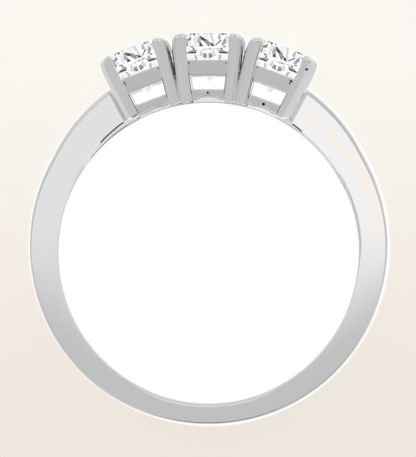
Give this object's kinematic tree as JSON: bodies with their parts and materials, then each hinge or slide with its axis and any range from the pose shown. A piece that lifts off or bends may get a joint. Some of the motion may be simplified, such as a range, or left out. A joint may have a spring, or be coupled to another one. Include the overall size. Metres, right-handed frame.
{
  "type": "three stone ring",
  "caption": "Finger ring whose band thickens into shoulders and carries a curved row of pronged basket heads, each with two rails and a square cut-corner stone.",
  "frame": {"origin": "centre of the finger hole, at half the band's width", "axes": "+Z along the finger, which points up when the ring lies on its side; +Y from the hole's centre to the centre stone; +X to the right of it seen from +Z"},
  "size_m": [0.0206, 0.0226, 0.0042],
  "materials": {
    "white_metal": "polished white gold",
    "clear_stone": "clear cut stone"
  },
  "bodies": {
    "root": {"shank_and_heads": "white_metal", "stone_left": "clear_stone", "stone_center": "clear_stone", "stone_right": "clear_stone"}
  },
  "joints": []
}
